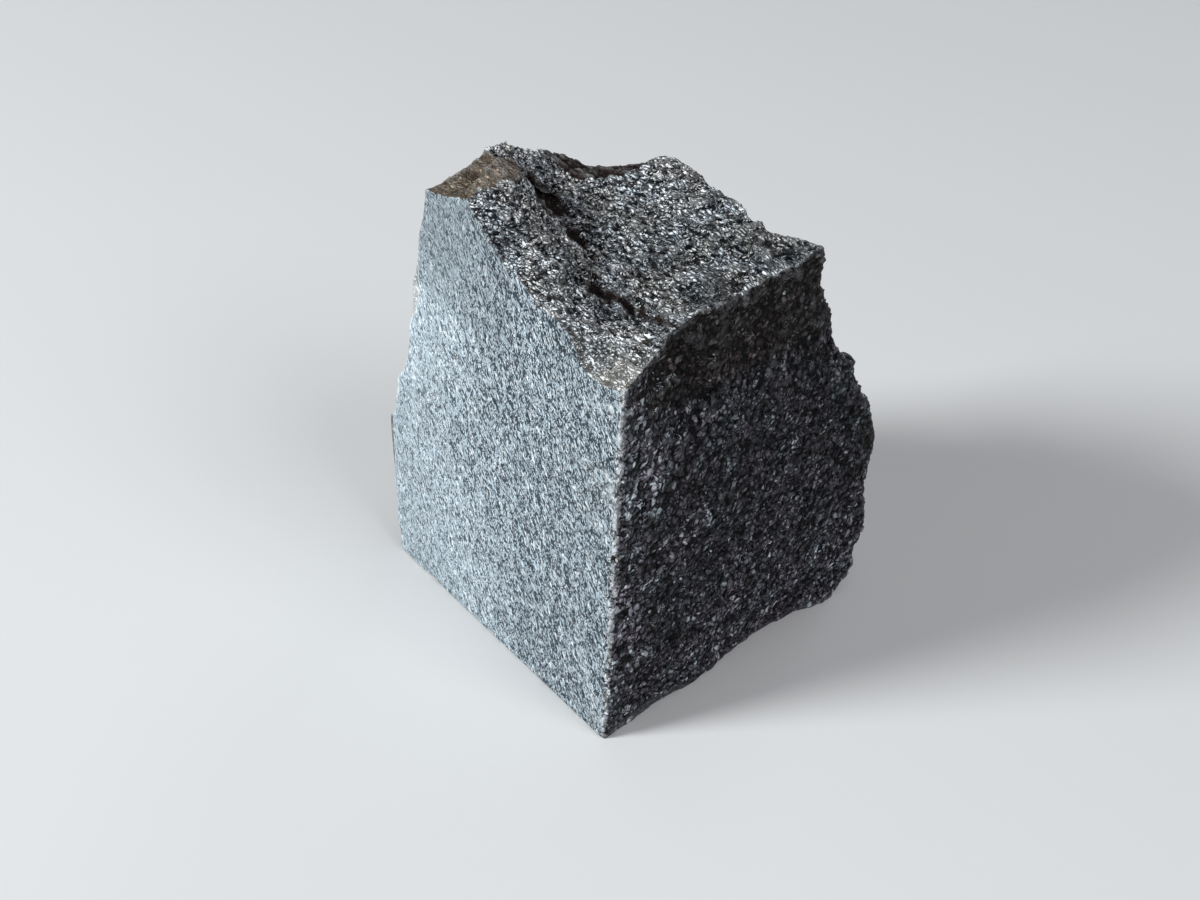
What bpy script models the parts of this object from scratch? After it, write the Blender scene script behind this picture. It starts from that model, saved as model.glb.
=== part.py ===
"""Diabase hand specimen: one stone with a sawn base, a sawn front, a cleft side and three broken sides.

The stone starts as a squared block and loses what was broken off it. Lengths are millimetres in
block coordinates until the end: the origin is the lower corner where the front meets the cleft side,
X runs to the right along the front, Y runs back and Z up. The finished stone is then moved so that
the middle of its bounding box's base is the origin.
"""

import math

import bmesh
import bpy
import numpy as np
from mathutils import Vector, noise

METRES = 0.001
DIAGONAL = math.sqrt(0.5)

# The squared block, before anything is broken off it.
BLOCK_LENGTH = 58.0
BLOCK_DEPTH = 56.0
BLOCK_HEIGHT = 82.0
OFFCUT = 12.0  # how far each broken-off piece reaches past the block
SAWN_MARGIN = 4.0  # how far a broken face runs on past the sawn planes, so that each cut is clean

# Broken top: height at (x, y).
FRONT_RIM = [
    (-41.4, 0, 69.3), (-38.0, 0, 70.3), (-34.8, 0, 71.5), (-31.0, 0, 72.9), (-29.6, 0, 71.0),
    (-27.4, 0, 70.4), (-24.8, 0, 69.0), (-23.4, 0, 67.6), (-20.2, 0, 67.2), (-16.8, 0, 64.8),
    (-12.2, 0, 64.5), (-10.0, 0, 63.4), (-8.2, 0, 61.0), (-4.9, 0, 61.0), (-0.8, 0, 61.8),
]
SIDE_RIM = [(0, 0, 62.3), (0, 4.7, 65.0), (0, 9.3, 67.6), (0, 18.2, 67.8), (0, 24.9, 68.0), (0, 32.0, 69.6)]
LEFT_RIM = [
    (-41.0, 3.8, 71.0), (-40.5, 9.0, 72.4), (-39.5, 13.0, 73.0), (-40.0, 18.0, 70.2),
    (-40.0, 23.0, 67.0),
]
BACK_RIM = [
    (-38.0, 28.0, 64.2), (-34.6, 26.6, 65.8), (-31.5, 26.6, 68.2), (-27.2, 28.7, 71.0),
    (-20.0, 29.5, 71.4), (-13.3, 29.4, 70.5), (-6.0, 30.0, 69.9),
]
BACK_SLOPE = [(-42, 40, 58), (-20, 42, 66), (0, 45, 66)]
FRONT_BROW = [
    (-33.8, 2.4, 73.2), (-29.0, 4.0, 73.8), (-25.4, 4.7, 71.8), (-18.6, 5.0, 68.0),
    (-12.5, 5.0, 65.3), (-8.3, 4.7, 64.4), (-4.5, 4.7, 64.6), (-33.0, 9.0, 74.0),
]
HOLLOW = [
    (-34.1, 15.5, 68.2), (-31.3, 17.7, 67.8), (-24.8, 13.5, 66.0), (-26.8, 18.2, 66.8),
    (-19.7, 15.8, 65.5), (-15.8, 11.0, 64.4), (-12.5, 14.7, 64.8), (-6.7, 11.5, 65.4),
    (-5.8, 17.0, 66.6), (-24.7, 23.2, 68.6), (-19.2, 21.9, 68.0), (-13.8, 24.0, 68.6),
    (-4.9, 24.4, 68.4),
]
TOP_HEIGHTS = FRONT_RIM + SIDE_RIM + LEFT_RIM + BACK_RIM + BACK_SLOPE + FRONT_BROW + HOLLOW

# Two ledges run along the top, behind its brow. The break drops at each line, given as (x, y), and
# climbs back over the ledge's reach. Each drop is (x, how far down).
UPPER_LEDGE = [
    (-34.0, 8.0), (-30.5, 9.6), (-27.5, 11.2), (-25.0, 13.4), (-20.0, 13.6), (-16.0, 15.4),
    (-10.0, 18.0),
]
UPPER_DROPS = [
    (-34.0, 0.0), (-30.0, 2.8), (-27.6, 1.1), (-25.4, 2.2), (-23.2, 0.8), (-20.6, 2.0),
    (-17.6, 1.2), (-14.0, 0.8), (-10.0, 0.0),
]
LOWER_LEDGE = [(-27.0, 3.4), (-23.0, 4.6), (-18.0, 5.8), (-13.5, 7.6), (-9.0, 8.2), (-4.0, 9.2), (0.0, 9.6)]
LOWER_DROPS = [
    (-27.0, 0.0), (-21.6, 1.2), (-19.0, 0.5), (-16.6, 1.2), (-13.0, 2.4), (-9.6, 1.9), (-7.2, 2.2),
    (-4.4, 0.8), (-2.4, 1.2), (0.0, 0.0),
]
LEDGE_REACH = 5.5

# Broken left side: distance to the left of the corner at (y, z).
LEFT_REACHES = [
    (0, 0, 50.0), (0, 8, 50.0), (0, 15, 51.0), (0, 23, 51.5), (0, 31.5, 49.6), (0, 36, 48.2),
    (0, 41, 46.5), (0, 49, 44.8), (0, 56, 43.4), (0, 66, 43.0), (0, 70, 42.2), (5, 72, 41.4),
    (13, 73, 40.2), (23, 67, 40.4), (28, 64, 39.0), (14, 50, 46.0), (18, 26, 53.0), (20, 0, 50.5),
    (34, 40, 47.0), (10, 60, 43.6), (24, 56, 43.5), (36, 14, 50.0), (48, 0, 44.0), (48, 30, 43.0),
    (46, 62, 34.0),
]

# Broken back: distance behind the front at (x, z).
BACK_REACHES = [
    (0, 0, 46.0), (0, 5, 47.6), (0, 10, 48.8), (0, 15, 50.0), (0, 23, 49.4), (0, 30, 49.6),
    (0, 36, 47.9), (0, 43, 44.8), (0, 47, 42.0), (0, 51, 39.6), (0, 57, 37.8), (0, 64.5, 34.8),
    (0, 70, 32.6), (-6, 70, 30.4), (-13, 71, 29.8), (-20, 72, 29.9), (-27, 71, 29.1),
    (-34, 66, 27.4), (-40, 62, 28.0), (-14, 52, 41.0), (-20, 32, 48.0), (-18, 8, 49.0),
    (-34, 46, 38.0), (-40, 22, 44.0), (-50, 0, 42.0), (-50, 36, 38.0), (-30, 0, 45.0),
]

# Broken rear left corner: distance from the block's front right edge, along the diagonal, at (across, z).
CORNER_REACHES = [
    (0, 0, 58.0), (0, 14, 61.0), (0, 30, 61.5), (0, 48, 56.0), (0, 60, 53.0), (0, 74, 51.0),
    (-12, 10, 60.0), (12, 10, 58.5), (-12, 40, 60.0), (12, 40, 59.0), (-12, 66, 52.0),
    (12, 66, 53.0),
]

# Cleft side: how far it stands out from the squared plane at (y, z).
SIDE_REACHES = [
    (0, 0, 0), (0, 20, 0), (0, 40, 0), (0, 62, 0), (10, 0, -0.9), (20, 0, -1.3), (34, 0, -2.3),
    (46, 0, -0.9), (14, 12, 0.2), (30, 12, -0.6), (24, 30, 0.3), (48, 26, -0.2), (12, 44, 0),
    (34, 44, 0.2), (10, 72, 0), (30, 72, 0),
]

# Scars where flakes came off: centre and radii across the face, then depth.
SIDE_SCARS = [(10.0, 60.0, 8.6, 9.6, 2.4), (22.4, 63.5, 6.6, 13.0, 1.7), (35.0, 61.0, 10.5, 11.6, 1.4)]
LEFT_SCARS = [(24.0, 45.0, 13.0, 17.0, 3.0), (13.0, 16.0, 14.0, 13.0, 1.8), (36.0, 14.0, 15.0, 16.0, 2.6)]
BACK_SCARS = [
    (-9.0, 60.0, 12.0, 13.0, 1.6), (-27.0, 54.0, 13.0, 16.0, 3.2), (-14.0, 27.0, 13.0, 17.0, 2.2),
    (-35.0, 20.0, 13.0, 18.0, 3.0),
]
CORNER_SCARS = [(2.0, 40.0, 9.0, 12.0, 2.0), (-3.0, 14.0, 10.0, 12.0, 1.6)]

# Roughness of the broken faces: two sizes of facets with their lean, then the size and height of the lumps.
TOP_RELIEF = dict(facets=[(8.0, 0.34), (3.4, 0.42)], lump=5.0, lump_height=0.55)
FLANK_RELIEF = dict(facets=[(17.0, 0.44), (7.0, 0.38)], lump=8.0, lump_height=0.8)
SIDE_RELIEF = dict(facets=[(16.0, 0.03), (5.0, 0.05)], lump=7.0, lump_height=0.2)
FACET_CRISPNESS = 24.0  # how quickly one facet gives way to the next
SCAR_ROUGHENING = 1.6  # how much rougher the cleft side is for each millimetre of scar
RIM_SHARE = 0.3  # share of the roughness that is left along the rims
RIM_WIDTH = 5.0  # and how far in it takes to reach the whole of it
TOP_RIMS = (-41.0, 0.0, 0.0, 30.0)  # left, right, front and back rims of the top
FLANK_RIM = 70.0  # height of the flanks' upper rim

TOP_STEP = 0.8  # spacing of the surface points on each face, before they are thinned out
FLANK_STEP = 1.3
SIDE_STEP = 1.6
KEPT_SHARE = 0.23  # share of the faces kept, which leaves facets of uneven size

STONE_GREY = (0.21, 0.22, 0.24, 1.0)
STONE_ROUGHNESS = 0.88


def clear_scene():
    for obj in list(bpy.data.objects):
        bpy.data.objects.remove(obj)


def new_collection(name):
    collection = bpy.data.collections.new(name)
    bpy.context.scene.collection.children.link(collection)
    return collection


def move_to(obj, collection):
    for old in list(obj.users_collection):
        old.objects.unlink(obj)
    collection.objects.link(obj)


def radial(distance_squared):
    """Thin-plate kernel, r^2 log r, written for a squared distance."""
    return 0.5 * distance_squared * np.log(np.maximum(distance_squared, 1e-12))


def smooth_sheet(heights):
    """A function of (u, v) for the thin plate that passes through every (u, v, height)."""
    spots = np.array(heights, float)
    uv, count = spots[:, :2], len(spots)
    gaps = ((uv[:, None] - uv[None]) ** 2).sum(axis=2)
    plane = np.hstack([np.ones((count, 1)), uv])
    system = np.block([[radial(gaps), plane], [plane.T, np.zeros((3, 3))]])
    weights = np.linalg.solve(system, np.concatenate([spots[:, 2], np.zeros(3)]))

    def height(u, v):
        bends = radial(((uv - (u, v)) ** 2).sum(axis=1)) @ weights[:count]
        return float(bends + weights[count:] @ (1.0, u, v))

    return height


def facet_height(place, size, lean):
    """Height of tilted facets, one round each random centre, that meet without a gap."""
    cell = place / size
    distances, centres = noise.voronoi(cell)[:2]
    total, share = 0.0, 0.0
    for distance, centre in zip(distances, centres):
        tilt = noise.cell_vector(centre * 5.0) - Vector((0.5, 0.5, 0.5))
        weight = math.exp(FACET_CRISPNESS * (distances[0] - distance))
        total += weight * (cell - centre).dot(tilt)
        share += weight
    return 2.0 * lean * size * total / share


def broken_relief(place, inward, facets, lump, lump_height):
    """Roughness of a broken face, which grows with the distance inward from its rims."""
    height = sum(facet_height(place, size, lean) for size, lean in facets)
    height += lump_height * (noise.ridged_multi_fractal(place / lump, 1.0, 2.1, 3, 1.0, 2.0) - 1.0)
    return height * (RIM_SHARE + (1.0 - RIM_SHARE) * min(1.0, max(0.0, inward) / RIM_WIDTH))


def flank_relief(place):
    inward = min(place.y, -place.x, FLANK_RIM - place.z)
    return broken_relief(place, inward, **FLANK_RELIEF)


def ledge_drop(x, y, line, drops):
    """How far the top lies below its smooth sheet, behind a ledge."""
    behind = y - np.interp(x, *zip(*line))
    if not 0.0 < behind < LEDGE_REACH:
        return 0.0
    return float(np.interp(x, *zip(*drops))) * (1.0 - behind / LEDGE_REACH)


def scar_depth(scars, u, v):
    """Depth of the flake scars at one place on a face."""
    depth = 0.0
    for scar_u, scar_v, u_radius, v_radius, deepest in scars:
        inside = 1.0 - ((u - scar_u) / u_radius) ** 2 - ((v - scar_v) / v_radius) ** 2
        depth = max(depth, deepest * inside)
    return depth


def top_point(sheet, x, y):
    drop = max(ledge_drop(x, y, UPPER_LEDGE, UPPER_DROPS), ledge_drop(x, y, LOWER_LEDGE, LOWER_DROPS))
    left, right, front, back = TOP_RIMS
    inward = min(x - left, right - x, y - front, back - y)
    place = Vector((x, y, sheet(x, y) - drop))
    place.z += broken_relief(place, inward, **TOP_RELIEF)
    return place


def left_point(sheet, y, z):
    place = Vector((scar_depth(LEFT_SCARS, y, z) - sheet(y, z), y, z))
    place.x -= flank_relief(place)
    return place


def back_point(sheet, x, z):
    place = Vector((x, sheet(x, z) - scar_depth(BACK_SCARS, x, z), z))
    place.y += flank_relief(place)
    return place


def corner_point(sheet, across, z):
    place = Vector((-across, -across, 0.0)) * DIAGONAL + Vector((0.0, 0.0, z))
    reach = sheet(across, z) - scar_depth(CORNER_SCARS, across, z)
    place += Vector((-DIAGONAL, DIAGONAL, 0.0)) * reach
    return place + Vector((-DIAGONAL, DIAGONAL, 0.0)) * flank_relief(place)


def side_point(sheet, y, z):
    depth = scar_depth(SIDE_SCARS, y, z)
    place = Vector((sheet(y, z) - depth, y, z))
    place.x += broken_relief(place, y, **SIDE_RELIEF) * (1.0 + SCAR_ROUGHENING * depth)
    return place


def offcut(name, point_at, heights, u_range, v_range, step, outward, limit):
    """The piece broken off one face: a rough sheet of points, carried outward to a flat at the limit."""
    u_steps = round((u_range[1] - u_range[0]) / step)
    v_steps = round((v_range[1] - v_range[0]) / step)
    bpy.ops.mesh.primitive_grid_add(x_subdivisions=u_steps, y_subdivisions=v_steps, size=1.0)
    piece = bpy.context.object
    piece.name = name
    sheet = smooth_sheet(heights)
    shape = bmesh.new()
    shape.from_mesh(piece.data)
    for vert in shape.verts:
        u = u_range[0] + (vert.co.x + 0.5) * (u_range[1] - u_range[0])
        v = v_range[0] + (vert.co.y + 0.5) * (v_range[1] - v_range[0])
        vert.co = point_at(sheet, u, v)
    carried = bmesh.ops.extrude_face_region(shape, geom=shape.faces[:], use_keep_orig=True)
    outward = Vector(outward)
    for item in carried["geom"]:
        if isinstance(item, bmesh.types.BMVert):
            item.co += outward * (limit - item.co.dot(outward))
    bmesh.ops.recalc_face_normals(shape, faces=shape.faces)
    shape.to_mesh(piece.data)
    shape.free()
    thinning = piece.modifiers.new("thinning", "DECIMATE")
    thinning.ratio = KEPT_SHARE
    piece.hide_render = True
    piece.display_type = "WIRE"
    return piece


def all_offcuts():
    below, past = -SAWN_MARGIN, SAWN_MARGIN
    x_span, y_span = (-BLOCK_LENGTH - past, past), (below, BLOCK_DEPTH + past)
    z_span = (below, BLOCK_HEIGHT + past)
    return [
        offcut("top_offcut", top_point, TOP_HEIGHTS, (-48.0, past), (below, 44.0), TOP_STEP,
               (0, 0, 1), BLOCK_HEIGHT + OFFCUT),
        offcut("left_offcut", left_point, LEFT_REACHES, y_span, z_span, FLANK_STEP,
               (-1, 0, 0), BLOCK_LENGTH + OFFCUT),
        offcut("back_offcut", back_point, BACK_REACHES, x_span, z_span, FLANK_STEP,
               (0, 1, 0), BLOCK_DEPTH + OFFCUT),
        offcut("corner_offcut", corner_point, CORNER_REACHES, (-20.0, 20.0), z_span, FLANK_STEP,
               (-DIAGONAL, DIAGONAL, 0), BLOCK_LENGTH + BLOCK_DEPTH),
        offcut("side_offcut", side_point, SIDE_REACHES, y_span, z_span, SIDE_STEP,
               (1, 0, 0), OFFCUT),
    ]


def stone_material():
    material = bpy.data.materials.new("diabase")
    material.use_nodes = True
    shader = material.node_tree.nodes["Principled BSDF"]
    shader.inputs["Base Color"].default_value = STONE_GREY
    shader.inputs["Roughness"].default_value = STONE_ROUGHNESS
    shader.inputs["Metallic"].default_value = 0.0
    return material


def squared_block():
    """The block, reaching past the cleft side by the depth of its offcut's roughness."""
    bpy.ops.mesh.primitive_cube_add(size=1.0)
    block = bpy.context.object
    block.name = "diabase_rock"
    past = SAWN_MARGIN / 2
    size = Vector((BLOCK_LENGTH + past, BLOCK_DEPTH, BLOCK_HEIGHT))
    middle = Vector(((past - BLOCK_LENGTH) / 2, BLOCK_DEPTH / 2, BLOCK_HEIGHT / 2))
    for vert in block.data.vertices:
        vert.co = vert.co * size + middle
    return block


def break_off(block, offcuts):
    for piece in offcuts:
        cut = block.modifiers.new(piece.name, "BOOLEAN")
        cut.operation = "DIFFERENCE"
        cut.object = piece
    graph = bpy.context.evaluated_depsgraph_get()
    broken = bpy.data.meshes.new_from_object(block.evaluated_get(graph))
    block.modifiers.clear()
    block.data = broken


def rest_on_origin(stone):
    """Metres, with the middle of the bounding box's base at the origin."""
    corners = np.array([vert.co for vert in stone.data.vertices])
    low, high = corners.min(axis=0), corners.max(axis=0)
    middle = Vector(((low[0] + high[0]) / 2, (low[1] + high[1]) / 2, low[2]))
    for vert in stone.data.vertices:
        vert.co = (vert.co - middle) * METRES
    print("corner of the block from the origin, mm:", [-round(c, 2) for c in middle])


def main():
    clear_scene()
    stones = new_collection("diabase_rock")
    cutters = new_collection("offcuts")
    block = squared_block()
    pieces = all_offcuts()
    break_off(block, pieces)
    rest_on_origin(block)
    block.data.materials.clear()
    block.data.materials.append(stone_material())
    move_to(block, stones)
    for piece in pieces:
        move_to(piece, cutters)


main()
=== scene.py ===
# A hand-sized block of diabase: two sawn faces, one cleft face, and a broken top, back and left.
# All sizes are in metres, except where a note says mm.
import math

import bpy
import numpy as np
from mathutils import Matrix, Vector


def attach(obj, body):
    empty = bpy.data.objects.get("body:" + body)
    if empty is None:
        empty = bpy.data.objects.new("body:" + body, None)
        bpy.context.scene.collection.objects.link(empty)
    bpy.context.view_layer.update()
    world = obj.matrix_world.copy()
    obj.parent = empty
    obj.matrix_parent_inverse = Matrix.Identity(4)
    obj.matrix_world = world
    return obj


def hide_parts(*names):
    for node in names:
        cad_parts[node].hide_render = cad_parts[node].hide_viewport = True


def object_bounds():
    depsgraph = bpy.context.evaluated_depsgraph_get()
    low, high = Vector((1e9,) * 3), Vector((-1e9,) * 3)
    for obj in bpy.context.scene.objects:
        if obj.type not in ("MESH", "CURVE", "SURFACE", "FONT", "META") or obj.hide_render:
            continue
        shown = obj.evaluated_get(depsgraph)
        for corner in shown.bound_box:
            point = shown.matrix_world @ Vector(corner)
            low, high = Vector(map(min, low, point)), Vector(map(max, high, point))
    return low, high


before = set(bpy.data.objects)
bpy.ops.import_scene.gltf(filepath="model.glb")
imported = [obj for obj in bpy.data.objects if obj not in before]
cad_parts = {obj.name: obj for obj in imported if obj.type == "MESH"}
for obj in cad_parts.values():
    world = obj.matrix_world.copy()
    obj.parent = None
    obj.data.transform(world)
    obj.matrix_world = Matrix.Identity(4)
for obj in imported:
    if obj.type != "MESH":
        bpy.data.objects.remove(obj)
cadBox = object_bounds()
print("frame loaded")

mm = 0.001

# The block as the CAD frame has it, and what turns it into weathered stone.
# A pair such as rimFrom is where an effect starts and where it is full.
blockSettings = dict(
    name="diabaseBlock",
    cadNode="diabase_rock",
    frontPlane=-26.28 * mm,  # the sawn face looks along -Y
    sidePlane=27.68 * mm,  # the cleft face looks along +X
    mergeWithin=0.01 * mm,
    voxel=0.31 * mm,
    keptShare=0.42,  # the share of triangles kept; keeps the piece under 200,000 triangles
    # the sawn faces stay flat
    flatDepth=0.12 * mm,
    flatFacing=(0.75, 0.95),
    sawnWithin=0.2 * mm,
    sawnFacing=0.8,
    # the cleft face, which reaches deeper in the scars at its top
    cleftDepth=3.0 * mm,
    cleftBorder=0.5 * mm,
    cleftFacing=(0.55, 0.85),
    cleftFrom=0.6,
    scarDepth=5.0 * mm,
    scarsFrom=50 * mm,
    # how much of the relief each surface takes
    borderRounds=3,
    smoothing=14,
    cleftSmoothing=4,
    cleftShare=0.8,
    rimFrom=0.2 * mm,
    rimWidth=0.8 * mm,
    rimShare=0.45,
    flankShare=0.42,
    upFacing=(0.1, 0.5),
    leftFacing=(0.2, 0.5),
    leftRunIn=7.0 * mm,
    leftCalm=0.85,
    filmCalm=0.45,
    filmCalmCrumbs=0.7,
    crumbCurve=(0.12 * mm, 0.4 * mm),
    crumbFrom=(0.6 * mm, 2 * mm),
    # the grain runs with the front face at the brow and swings round across the hollow
    grainSwing=(-18 * mm, 8 * mm),
    grainTurn=38,
    facetTilt=1.6,
    facetLift=0.7,
)

# Broken relief in mm, coarse to fine: size along the grain and across it, height, how sharply flats meet.
reliefLayers = [
    dict(along=7.0, across=1.9, height=0.46, crisp=18, seed=11),
    dict(along=2.4, across=0.9, height=0.40, crisp=22, seed=23),
    dict(along=1.1, across=0.55, height=0.27, crisp=18, seed=37),
]

# Broken arrises crumble.
crumbLayers = [
    dict(along=1.5, across=1.1, height=0.45, crisp=14, seed=67),
    dict(along=0.85, across=0.7, height=0.32, crisp=16, seed=68),
]

# The cleft face is rough in rounder grains.
cleftLayers = [
    dict(along=2.6, across=2.0, height=0.35, crisp=14, seed=53),
    dict(along=1.1, across=0.9, height=0.34, crisp=20, seed=59),
]

# Grooves across the top, in mm: from x, y, z, to x, y, z, half width, depth, and how rusty each is.
grooves = [
    (-4.6, -14.8, 70.8, -2.6, -12.8, 68.4, 1.70, 1.60, 1.0),
    (-7.4, -11.6, 68.6, -4.4, -12.4, 69.2, 1.20, 0.90, 1.0),
    (-4.6, -14.9, 71.0, -0.6, -16.0, 70.3, 1.10, 0.00, 1.0),
    (-0.9, -14.0, 68.6, 0.9, -13.4, 66.8, 0.45, 0.60, 0.3),
    (1.0, -13.1, 66.2, 2.5, -12.6, 64.8, 0.75, 0.90, 1.0),
    (-0.1, -16.6, 70.1, 2.6, -13.8, 65.5, 0.35, 0.50, 0.5),
    (2.5, -13.0, 64.8, 6.5, -13.9, 65.0, 0.55, 0.70, 0.9),
    (4.8, -11.2, 64.7, 10.2, -12.4, 65.9, 0.50, 0.60, 0.6),
    (6.3, -22.6, 70.2, 8.5, -21.0, 68.8, 0.60, 1.10, 0.0),
    (1.7, -23.2, 71.2, 5.4, -22.2, 70.4, 0.30, 0.45, 0.0),
    (1.9, -20.8, 71.3, 2.7, -19.2, 69.4, 0.30, 0.40, 0.0),
    (9.9, -20.7, 67.8, 10.6, -18.9, 65.4, 0.40, 0.55, 0.2),
    (11.3, -17.6, 64.6, 16.1, -15.6, 63.0, 0.70, 0.60, 1.0),
    (17.1, -14.8, 63.1, 23.7, -16.1, 65.7, 0.50, 0.50, 0.9),
    (11.8, -23.6, 65.8, 12.3, -23.5, 65.5, 0.40, 0.50, 0.0),
    (16.2, -25.6, 64.7, 17.7, -25.6, 63.8, 0.30, 0.40, 0.0),
    (3.1, -3.9, 68.1, 7.6, -5.0, 68.4, 0.40, 0.45, 0.0),
    (0.4, -2.1, 69.5, 3.1, -3.3, 68.5, 0.35, 0.40, 0.0),
    (16.8, -12.9, 64.3, 21.9, -10.9, 65.5, 0.40, 0.50, 0.3),
    (22.7, -9.9, 65.7, 24.6, -9.1, 66.9, 0.35, 0.40, 0.0),
    (0.2, -25.8, 70.3, 3.6, -25.8, 68.2, 0.35, 0.40, 0.0),
    (6.5, -25.6, 67.3, 8.8, -25.8, 66.3, 0.30, 0.35, 0.0),
    (7.9, -7.2, 66.9, 11.6, -5.6, 66.1, 0.40, 0.40, 0.0),
    (15.8, -5.6, 65.9, 21.9, -5.5, 67.7, 0.40, 0.40, 0.0),
]

# How the grooves are measured, in mm.
grooveSettings = dict(
    heightShare=0.4,  # a difference in height counts for less, so that a groove reaches up its walls
    # the grooves are darkened with painted shade: fullDepth and shadeReach set how much and how far
    fullDepth=0.6,  # as deep as this, it is fully dark
    shadeReach=(0.9, 0.12),  # of the half width, and more
    rustReach=(1.1, 0.15),
)

# The flat at the upper left, which weathered brown, in mm. It lies left of two lines: x, slope, y.
ironFlat = dict(
    lines=[(-3.4, 0.45, -25), (-1.3, -0.74, -19.8)],
    border=(-0.4, 0.6),
    rearEdge=-16.2,
    rearBorder=(-0.4, 0.9),
    above=(66.5, 68.5),
    upFacing=(0.0, 0.4),
)

# Chipped arrises, in mm: the left one is given by its places (x, z).
# Chips are two sizes with their seeds. Ragged is the least width and what the chips add to it.
arrisSettings = dict(
    leftArris=[(-22.4, 0.0), (-22.6, 23.6), (-22.8, 29.1), (-18.7, 42.4), (-15.0, 52.9), (-13.8, 69.3)],
    leftRuns=[(44.5, 54.5, 1.3), (29.0, 39.5, 1.9)],  # from z, to z, width
    leftRunEnds=2,
    leftChips=((2.4, 71), (1.1, 72)),
    leftRagged=(0.35, 0.9),
    leftSlope=0.42,
    leftDeepest=0.75,
    leftWithin=0.8,
    leftSwell=(42.0, 4.5, 0.8),  # at z, over, by
    swellAcross=(5, 4),
    swellDeep=(9, 6),
    frontWidth=0.95,
    frontChips=((1.2, 81), (0.7, 82)),
    frontRagged=(0.1, 1.5),
    baseWidth=0.35,
    baseChips=((2.0, 91), (0.8, 92)),
    baseRagged=(0.1, 1.3),
    baseChip=(-13.0, 1.1, 0.55),  # at x, over, by
    edgeWithin=2,
    chipCrisp=6,
)

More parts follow.
